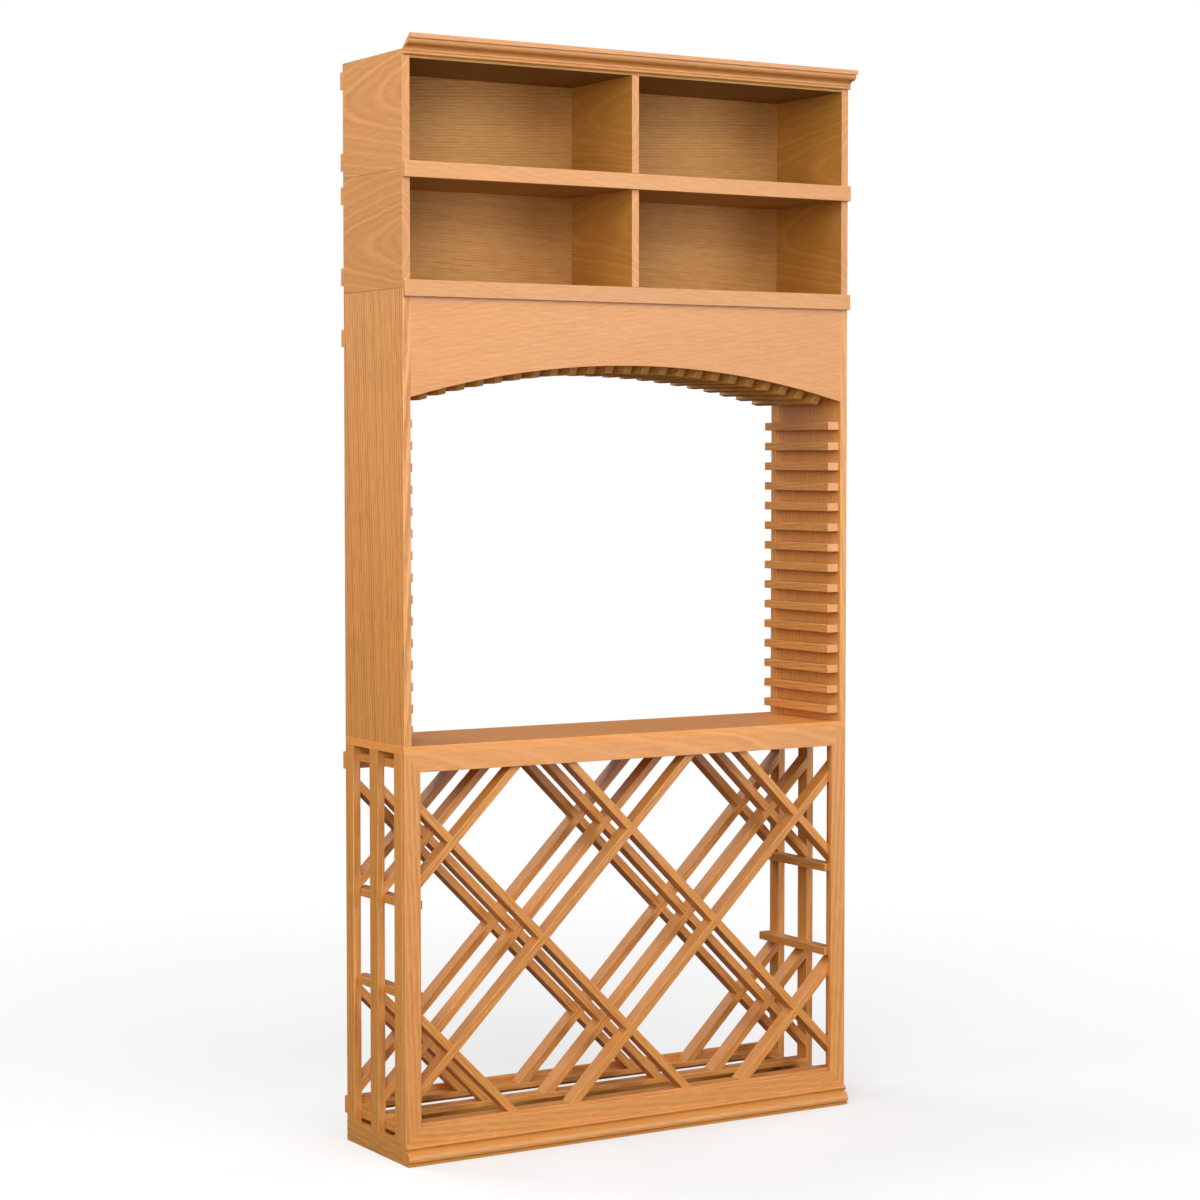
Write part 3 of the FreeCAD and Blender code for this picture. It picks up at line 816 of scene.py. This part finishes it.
class Layout:
    """Geometry Nodes tree that sets out copies of one piece of stock, each with grain of its own."""

    SHIFT_LOW = (0.0, -0.02, -0.02)
    SHIFT_HIGH = (9.0, 0.02, 0.02)
    TONE_LOW = 0.94
    TONE_HIGH = 1.06
    RANDOM_PLACES = {"FLOAT_VECTOR": (0, 1, 0), "FLOAT": (2, 3, 1)}

    def __init__(self, name: str) -> None:
        """Start a tree with the inputs that all layouts have.

        Args:
            name: Name of the tree.
        """
        self.tree = bpy.data.node_groups.new(name, "GeometryNodeTree")
        self.bench = Bench(self.tree)
        self.entry = self.tree.nodes.new("NodeGroupInput")
        self.identifiers: dict[str, str] = {}
        self.base = self.ask("Base", "NodeSocketGeometry")
        self.stock = self.ask("Stock", "NodeSocketObject")
        self.finish = self.ask("Finish", "NodeSocketMaterial")
        self.seed = self.ask("Seed", "NodeSocketInt")

    def ask(self, name: str, kind: str) -> Wire:
        """Add a named input.

        Args:
            name: Name of the input.
            kind: Blender's type of its socket.

        Returns:
            Wire on the input.
        """
        socket = self.tree.interface.new_socket(name, in_out="INPUT", socket_type=kind)
        self.identifiers[name] = socket.identifier
        return Wire(self.bench, self.entry.outputs[name])

    def store(self, geometry: Wire, name: str, kind: str, domain: str, feed: Wire) -> Wire:
        """Add a node that writes an attribute.

        Args:
            geometry: Geometry to write on.
            name: Name of the attribute.
            kind: Its data type.
            domain: Its domain.
            feed: What is written.

        Returns:
            Wire on the geometry.
        """
        settings = {"data_type": kind, "domain": domain}
        sockets = {"Geometry": geometry, "Name": name, "Value": feed}
        return self.bench.node("GeometryNodeStoreNamedAttribute", settings, sockets)

    def chance(self, kind: str, low: Feed, high: Feed) -> Wire:
        """Add a random value for each copy.

        Args:
            kind: Data type of the value.
            low: Lowest value.
            high: Highest value.

        Returns:
            Wire on the value.
        """
        first, second, out = self.RANDOM_PLACES[kind]
        sockets = {first: low, second: high, "Seed": self.seed}
        return self.bench.node("FunctionNodeRandomValue", {"data_type": kind}, sockets, out)

    def close(self, points: Wire, turn: Union[Wire, None] = None) -> None:
        """Set the stock on points, give each copy its grain, and end the tree.

        Args:
            points: Geometry with the points.
            turn: Turn of each copy, where there is one.
        """
        bench = self.bench
        stock = bench.node("GeometryNodeObjectInfo", {}, {"Object": self.stock}, "Geometry")
        sockets = {"Points": points, "Instance": stock}
        if turn:
            sockets["Rotation"] = turn
        copies = bench.node("GeometryNodeInstanceOnPoints", {}, sockets)
        shift = self.chance("FLOAT_VECTOR", self.SHIFT_LOW, self.SHIFT_HIGH)
        copies = self.store(copies, "shift", "FLOAT_VECTOR", "INSTANCE", shift)
        tone = self.chance("FLOAT", self.TONE_LOW, self.TONE_HIGH)
        copies = self.store(copies, "tone", "FLOAT", "INSTANCE", tone)
        solid = bench.node("GeometryNodeRealizeInstances", {}, {"Geometry": copies})
        named = [bench.node("GeometryNodeInputNamedAttribute", {"data_type": "FLOAT_VECTOR"}, {"Name": name})
                 for name in ("board", "shift")]
        moved = bench.node("ShaderNodeVectorMath", {"operation": "ADD"}, dict(enumerate(named)))
        solid = self.store(solid, "board", "FLOAT_VECTOR", "POINT", moved)
        dressed = bench.node("GeometryNodeSetMaterial", {}, {"Geometry": solid, "Material": self.finish})
        self.tree.interface.new_socket("Geometry", in_out="OUTPUT", socket_type="NodeSocketGeometry")
        bench.node("NodeGroupOutput", {}, {0: dressed})

    def make(self, name: str, base: bpy.types.Mesh, stock: bpy.types.Mesh, finish: WoodFinish, node: str,
             sizes: dict[str, Any]) -> bpy.types.Object:
        """Run the tree once and keep its result as a plain mesh.

        Args:
            name: Name of the piece.
            base: Mesh that the modifier sits on.
            stock: Mesh that is repeated.
            finish: Finish of the piece.
            node: CAD node that it stands for.
            sizes: Values of the tree's other inputs.

        Returns:
            The finished piece.
        """
        pattern = bpy.data.objects.new(name + "_stock", stock)
        carrier = bpy.data.objects.new(name + "_carrier", base)
        bpy.context.scene.collection.objects.link(carrier)
        modifier = carrier.modifiers.new("layout", "NODES")
        modifier.node_group = self.tree
        values = {"Stock": pattern, "Finish": finish.material(), **sizes}
        for label, value in values.items():
            modifier[self.identifiers[label]] = value
        settled = bpy.context.evaluated_depsgraph_get()
        mesh = bpy.data.meshes.new_from_object(carrier.evaluated_get(settled), depsgraph=settled)
        carrier.modifiers.remove(modifier)
        bpy.data.objects.remove(carrier)
        bpy.data.objects.remove(pattern)
        return Piece.finish(name, mesh, finish, node)


class RowLayout(Layout):
    """Copies in a straight row."""

    def __init__(self) -> None:
        """Build the tree."""
        super().__init__("slat_row")
        sockets = {
            "Count": self.ask("Count", "NodeSocketInt"),
            "Start Location": self.ask("First", "NodeSocketVector"),
            "Offset": self.ask("Step", "NodeSocketVector"),
        }
        self.close(self.bench.node("GeometryNodeMeshLine", {"mode": "OFFSET"}, sockets))


class VaultLayout(Layout):
    """Copies side by side round an arc that stands upright, each turned to face its centre."""

    def __init__(self) -> None:
        """Build the tree."""
        super().__init__("slat_vault")
        bench = self.bench
        count = self.ask("Count", "NodeSocketInt")
        radius = self.ask("Radius", "NodeSocketFloat")
        pitch = self.ask("Pitch Angle", "NodeSocketFloat")
        level = self.ask("Centre Height", "NodeSocketFloat")
        middle = self.ask("Middle Depth", "NodeSocketFloat")
        line = bench.node("GeometryNodeMeshLine", {"mode": "OFFSET"}, {"Count": count})
        angle = pitch * (bench.node("GeometryNodeInputIndex", {}, {}) - (count - 1.0) / 2.0)
        place = {"X": radius * angle.sine(), "Y": middle, "Z": level + radius * angle.cosine()}
        sockets = {"Geometry": line, "Position": bench.node("ShaderNodeCombineXYZ", {}, place)}
        points = bench.node("GeometryNodeSetPosition", {}, sockets)
        self.close(points, bench.node("ShaderNodeCombineXYZ", {}, {"Y": angle}))


class PinLayout(Layout):
    """Copies on the points of the mesh that carries the tree."""

    def __init__(self) -> None:
        """Build the tree."""
        super().__init__("pins")
        self.close(self.base)


@dataclass
class BaseModule:
    """Plinth, posts, cleats and rails of the base."""

    ends: tuple[str, ...] = ("left", "right")
    posts: tuple[str, ...] = ("front", "middle", "rear")

    def build(self) -> None:
        """Build and dress the pieces."""
        for end in self.ends:
            Timber("plinth_rail_" + end, FRAME, Grain.DEPTH, arris=Arris.LONG, flush=(Side.OVER,)).make()
            for post in self.posts:
                Timber("base_post_%s_%s" % (end, post), FRAME, Grain.HEIGHT, arris=Arris.LONG).make()
            Timber("base_cleats_" + end, SLATS, Grain.DEPTH).make()
        Timber("plinth_rail_rear", FRAME, Grain.WIDTH, arris=Arris.LONG, flush=(Side.OVER,)).make()
        Timber("plinth_board_front", FRAME, Grain.WIDTH, arris=Arris.NONE).make()
        for rails in ("floor_rails", "top_rails"):
            Timber(rails, FRAME, Grain.WIDTH, arris=Arris.LONG).make()


@dataclass
class Lattice:
    """Three layers of half-lapped diagonal slats."""

    layers: tuple[str, ...] = ("front", "middle", "rear")

    def build(self) -> None:
        """Build and dress the slats."""
        for layer in self.layers:
            for grain in (Grain.RISING, Grain.FALLING):
                node = "lattice_%s_%s" % (layer, grain.name.lower())
                Timber(node, LATTICE, grain, arris=Arris.LONG).make()


@dataclass
class FaceFrame:
    """Mitred frame and moulding on the front of the base."""

    band: str = "face_frame_top"

    def build(self) -> None:
        """Build and dress the members."""
        Timber(self.band, FACE, Grain.WIDTH, Sawing.FLAME, Arris.LONG, flush=(Side.OVER,)).make()
        Timber("face_frame_bottom", FACE, Grain.WIDTH, arris=Arris.LONG, flush=(Side.UNDER,)).make()
        for end in ("left", "right"):
            Timber("face_frame_" + end, FACE, Grain.HEIGHT, arris=Arris.LONG).make()
        Timber("base_moulding", PLINTH, Grain.WIDTH, Sawing.QUIET, Arris.NONE).make()


@dataclass
class ArchModule:
    """Tasting table, side panels, valance, ribs and the slats inside the arch.

    Attributes:
        side_count: Slats up each side panel.
        vault_count: Slats round the arch.
        slat_thick: Thickness of a slat.
        slat_wide: Width of a slat round the arch.
        arch_rise: Rise of the valance's arc.
        rib_lift: How far the ribs' arc lies outside that of the valance.
        front_slant: How far the slats round the arch are cut back below at the front.
        painted_end_light: Painted highlight on the side slats' ends.
        vault_end_shade: Painted shade on the vault slats' ends, given below nought.
        side_seed: Seed of the left row; the right row has the next one.
        vault_seed: Seed of the vault.
    """

    side_count: int = 15
    vault_count: int = 23
    slat_thick: float = 0.0185
    slat_wide: float = 0.031
    arch_rise: float = 0.075
    rib_lift: float = 0.015
    front_slant: float = 0.02
    # Painted highlight on the side slats' ends and painted shade on the vault slats' ends
    painted_end_light: float = 0.6
    vault_end_shade: float = -0.5
    side_seed: int = 27
    vault_seed: int = 17

    def build(self) -> None:
        """Build and dress the pieces."""
        under = (Side.UNDER,)
        over = (Side.OVER,)
        Timber("tasting_table", TABLE, Grain.WIDTH, Sawing.FLAME, flush=under, log_of="face_frame_top").make()
        Timber("arch_panel_left", PANEL, Grain.HEIGHT, Sawing.RIFT, flush=under, joint=over).make()
        Timber("arch_panel_right", JAMB, Grain.HEIGHT, flush=under, joint=over).make()
        Timber("arch_valance", PANEL, Grain.WIDTH, Sawing.QUIET).make()
        for rib in ("front", "rear"):
            Timber("arch_rib_" + rib, PANEL, Grain.WIDTH).make()
        self.build_sides()
        self.build_vault()

    def build_sides(self) -> None:
        """Row of slats up each side panel."""
        row = RowLayout()
        for seed, end in enumerate(("left", "right"), self.side_seed):
            node = "arch_side_slats_" + end
            low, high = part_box(node)
            size = Vector((high.x - low.x, high.y - low.y, self.slat_thick))
            first = (low + high) / 2
            first.z = low.z + self.slat_thick / 2
            pitch = (high.z - low.z - self.slat_thick) / (self.side_count - 1)
            stock = Shape.stock(size, Grain.DEPTH, node, painted_end_light=self.painted_end_light)
            step = Vector((0.0, 0.0, pitch))
            sizes = {"Seed": seed, "Count": self.side_count, "First": first, "Step": step}
            row.make(node + "_timber", bpy.data.meshes.new(node), stock, SLATS, node, sizes)

    def build_vault(self) -> None:
        """Slats side by side under the ribs of the arch."""
        node = "arch_slats"
        valance_low, valance_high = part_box("arch_valance")
        low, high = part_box(node)
        half = valance_high.x
        radius = (half ** 2 + self.arch_rise ** 2) / (2 * self.arch_rise)
        seat = math.sqrt((radius + self.rib_lift) ** 2 - self.slat_thick ** 2 / 4)
        size = Vector((self.slat_thick, high.y - low.y, self.slat_wide))
        stock = Shape.stock(size, Grain.DEPTH, node, self.front_slant, self.vault_end_shade)
        sizes = {
            "Seed": self.vault_seed,
            "Count": self.vault_count,
            "Radius": seat - self.slat_wide / 2,
            "Pitch Angle": 2 * math.asin(half / radius) / (self.vault_count + 1),
            "Centre Height": valance_low.z + self.arch_rise - radius,
            "Middle Depth": (low.y + high.y) / 2,
        }
        VaultLayout().make(node + "_timber", bpy.data.meshes.new(node), stock, VAULT, node, sizes)


@dataclass
class BinModule:
    """One tier of open bins: sides, floor, top, divider, back and the trim strip over the joint below.

    Attributes:
        tier: Name of the tier.
        cover: Finish of its top.
    """

    tier: str
    cover: WoodFinish = BACK

    def build(self) -> None:
        """Build and dress the pieces."""
        name = self.tier + "_bin_"
        joint = (Side.UNDER, Side.OVER)
        # Faces that look into the bin take painted shade.
        Timber(name + "side_left", BIN, Grain.DEPTH, Sawing.FLAME, joint=joint, inside=(Side.RIGHT,)).make()
        Timber(name + "side_right", BIN, Grain.DEPTH, Sawing.FLAME, joint=joint, inside=(Side.LEFT,)).make()
        Timber(name + "floor", PANEL, Grain.WIDTH, arris=Arris.LONG).make()
        Timber(name + "top", self.cover, Grain.WIDTH, arris=Arris.LONG, inside=(Side.UNDER,)).make()
        Timber(name + "divider", BIN, Grain.DEPTH, Sawing.FLAME, inside=(Side.LEFT, Side.RIGHT)).make()
        Timber(name + "back", BACK, Grain.WIDTH, arris=Arris.NONE).make()
        Timber(name + "strip", TRIM, Grain.WIDTH, Sawing.QUIET).make()


@dataclass
class Fittings:
    """Crown moulding, wall cleats and the dowels between the modules."""

    cleats: tuple[str, ...] = ("base_low", "base_high", "arch", "lower_bin_low", "lower_bin_high",
                               "upper_bin_low", "upper_bin_high")
    flutes: int = 10
    flute_depth: float = 0.0003
    chamfer: float = 0.0012
    dowel_seed: int = 20

    def build(self) -> None:
        """Build and dress the pieces."""
        Timber("crown_moulding", TRIM, Grain.WIDTH, Sawing.QUIET, Arris.NONE).make()
        for cleat in self.cleats:
            Timber("wall_cleat_" + cleat, FRAME, Grain.WIDTH).make()
        self.build_dowels()

    def build_dowels(self) -> None:
        """Fluted dowels where the CAD has plain ones."""
        node = "module_dowels"
        blank = Timber(node, DOWEL, Grain.HEIGHT).blank()
        points = []
        for pin in Shape.boards(blank):
            corners = [vert.co for face in pin for vert in face.verts]
            low = Vector(min(corner[axis] for corner in corners) for axis in range(3))
            high = Vector(max(corner[axis] for corner in corners) for axis in range(3))
            points.append((low + high) / 2)
        blank.free()
        base = bpy.data.meshes.new(node)
        base.from_pydata(points, [], [])
        stock = self.dowel((high.x - low.x) / 2, high.z - low.z)
        PinLayout().make(node + "_timber", base, stock, DOWEL, node, {"Seed": self.dowel_seed})

    def dowel(self, radius: float, length: float) -> bpy.types.Mesh:
        """Make one fluted dowel with chamfered ends about the origin.

        Args:
            radius: Radius over the ridges.
            length: Length over all.

        Returns:
            The dowel's mesh.
        """
        shape = Shape.start()
        levels = ((-length / 2, self.chamfer), (self.chamfer - length / 2, 0.0),
                  (length / 2 - self.chamfer, 0.0), (length / 2, self.chamfer))
        rings = []
        for height, inset in levels:
            ring = []
            for step in range(2 * self.flutes):
                turn = math.pi * step / self.flutes
                reach = radius - inset - self.flute_depth * (step % 2)
                ring.append(shape.verts.new((reach * math.cos(turn), reach * math.sin(turn), height)))
            rings.append(ring)
        for lower, upper in zip(rings, rings[1:]):
            for step in range(2 * self.flutes):
                shape.faces.new((lower[step - 1], lower[step], upper[step], upper[step - 1]))
        shape.faces.new(reversed(rings[0]))
        shape.faces.new(rings[-1])
        own = BoardFrame.lay([vert.co for vert in shape.verts], Grain.HEIGHT, Sawing.STRAIGHT, "dowel")
        Shape.mark(shape, shape.faces, own, Sawing.STRAIGHT, {})
        return Shape.mesh(shape, "dowel")


@dataclass(frozen=True)
class SoftBox:
    """A soft rectangular studio light."""

    name: str
    place: Place
    aim: Place
    size: Span
    power: float

    def build(self) -> None:
        """Hang the light and turn it to its aim."""
        light = bpy.data.lights.new(self.name, "AREA")
        light.shape = "RECTANGLE"
        light.size, light.size_y = self.size
        light.energy = self.power
        lamp = bpy.data.objects.new(self.name, light)
        lamp.location = self.place
        lamp.rotation_euler = (Vector(self.aim) - Vector(self.place)).to_track_quat("-Z", "Y").to_euler()
        bpy.context.scene.collection.objects.link(lamp)


@dataclass
class Studio:
    """Pale floor, soft light and the camera at the photograph's angle.

    Attributes:
        camera_place: Place of the camera.
        camera_turn: Its turn in radians.
        lens: Focal length in millimetres.
        sensor: Width of the sensor in millimetres.
        floor_reach: Radius of the floor.
        floor_sides: Corners of its rim.
        fade_start: Distance at which the floor starts to fade to white.
        fade_end: Distance at which it is white.
        near_glow: Share of white next to the cabinet.
        sky: Strength of the surroundings as a light.
    """

    camera_place: Place = (-3.3810, -5.5469, 1.5360)
    camera_turn: tuple[float, float, float] = (1.5194, 0.0, -0.5455)
    lens: float = 85.68
    sensor: float = 36.0
    floor_reach: float = 40.0
    floor_sides: int = 64
    fade_start: float = 0.6
    fade_end: float = 3.5
    near_glow: float = 0.4
    sky: float = 0.15

    WHITE = (1.0, 1.0, 1.0, 1.0)
    BOUNCE = (0.14, 0.14, 0.14)
    FLOOR_DARK = (0.86, 0.86, 0.86)
    FLOOR_PALE = (0.9, 0.9, 0.9)
    MOTTLE_WAVES = (3.0, 3.0, 3.0)
    MOTTLE_OCTAVES = 3.0
    LIGHTS = (
        SoftBox("key", (-3.6, -4.7, 2.9), (0.0, 0.0, 1.3), (2.4, 2.4), 132.0),
        SoftBox("low_left", (-4.0, -4.6, 0.8), (0.0, 0.0, 1.6), (2.0, 1.4), 45.0),
        SoftBox("high_left", (-4.5, -4.2, 6.6), (0.0, 0.0, 1.2), (2.8, 2.8), 90.0),
        SoftBox("overhead", (0.0, -5.6, 5.0), (0.0, 0.0, 1.1), (3.4, 2.2), 150.0),
        SoftBox("sheen", (3.1, -5.2, 2.0), (0.0, 0.0, 1.4), (2.6, 3.6), 125.0),
        SoftBox("side", (-4.4, -0.3, 2.8), (-0.58, 0.0, 1.4), (2.2, 2.2), 84.0),
        SoftBox("back_left", (-3.4, 4.4, 2.8), (-0.4, 0.0, 1.5), (2.6, 2.6), 8.0),
        SoftBox("back", (-2.0, 3.2, 5.2), (0.0, 0.0, 1.2), (2.4, 1.6), 100.0),
        SoftBox("fill_right", (4.8, 0.6, 2.5), (0.58, 0.0, 1.3), (2.4, 2.8), 90.0),
        SoftBox("fill_back", (0.2, 5.4, 2.6), (0.0, 0.1, 1.4), (2.6, 2.4), 18.0),
    )

    def build(self) -> None:
        """Set up the studio."""
        bpy.context.scene.view_settings.view_transform = "Standard"
        self.build_floor()
        self.build_sky()
        for light in self.LIGHTS:
            light.build()
        self.build_camera()

    def build_floor(self) -> None:
        """Pale floor that fades to white away from the cabinet."""
        shape = bmesh.new()
        bmesh.ops.create_circle(shape, cap_ends=True, radius=self.floor_reach, segments=self.floor_sides)
        floor = bpy.data.objects.new("floor", Shape.mesh(shape, "floor"))
        bpy.context.scene.collection.objects.link(floor)
        made = bpy.data.materials.new("pale_floor")
        made.use_nodes = True
        made.node_tree.nodes.clear()
        bench = Bench(made.node_tree)
        place = bench.node("ShaderNodeTexCoord", {}, {}, "Object")
        distance = bench.node("ShaderNodeVectorMath", {"operation": "LENGTH"}, {0: place}, "Value")
        mottle = bench.noise(place, self.MOTTLE_WAVES, self.MOTTLE_OCTAVES)
        colour = bench.mix(mottle, self.FLOOR_DARK, self.FLOOR_PALE)
        seen = bench.node("ShaderNodeLightPath", {}, {}, "Is Camera Ray")
        matt = bench.node("ShaderNodeBsdfDiffuse", {}, {"Color": bench.mix(seen, self.BOUNCE, colour)})
        white = bench.node("ShaderNodeEmission", {}, {"Color": self.WHITE, "Strength": seen})
        far = self.near_glow + (1.0 - self.near_glow) * distance.rise(self.fade_start, self.fade_end)
        surface = bench.node("ShaderNodeMixShader", {}, {0: far, 1: matt, 2: white})
        bench.node("ShaderNodeOutputMaterial", {}, {"Surface": surface})
        floor.data.materials.append(made)

    def build_sky(self) -> None:
        """White surroundings that light the cabinet less than they show."""
        world = bpy.data.worlds.new("studio")
        world.use_nodes = True
        world.node_tree.nodes.clear()
        bench = Bench(world.node_tree)
        seen = bench.node("ShaderNodeLightPath", {}, {}, "Is Camera Ray")
        strength = self.sky + (1.0 - self.sky) * seen
        surface = bench.node("ShaderNodeBackground", {}, {"Color": self.WHITE, "Strength": strength})
        bench.node("ShaderNodeOutputWorld", {}, {"Surface": surface})
        bpy.context.scene.world = world

    def build_camera(self) -> None:
        """Camera as fitted to the photograph."""
        lens = bpy.data.cameras.new("camera")
        lens.sensor_width = self.sensor
        lens.lens = self.lens
        camera = bpy.data.objects.new("camera", lens)
        camera.location = self.camera_place
        camera.rotation_euler = self.camera_turn
        bpy.context.scene.collection.objects.link(camera)
        bpy.context.scene.camera = camera


def main() -> None:
    """Build the station and the studio round it."""
    logging.basicConfig(level=logging.INFO, format="%(name)s %(message)s")
    modules = (BaseModule(), Lattice(), FaceFrame(), ArchModule(),
               BinModule("lower"), BinModule("upper", LID), Fittings(), Studio())
    for module in modules:
        log.info("building %s", type(module).__name__)
        module.build()


if __name__ == "__main__":
    main()
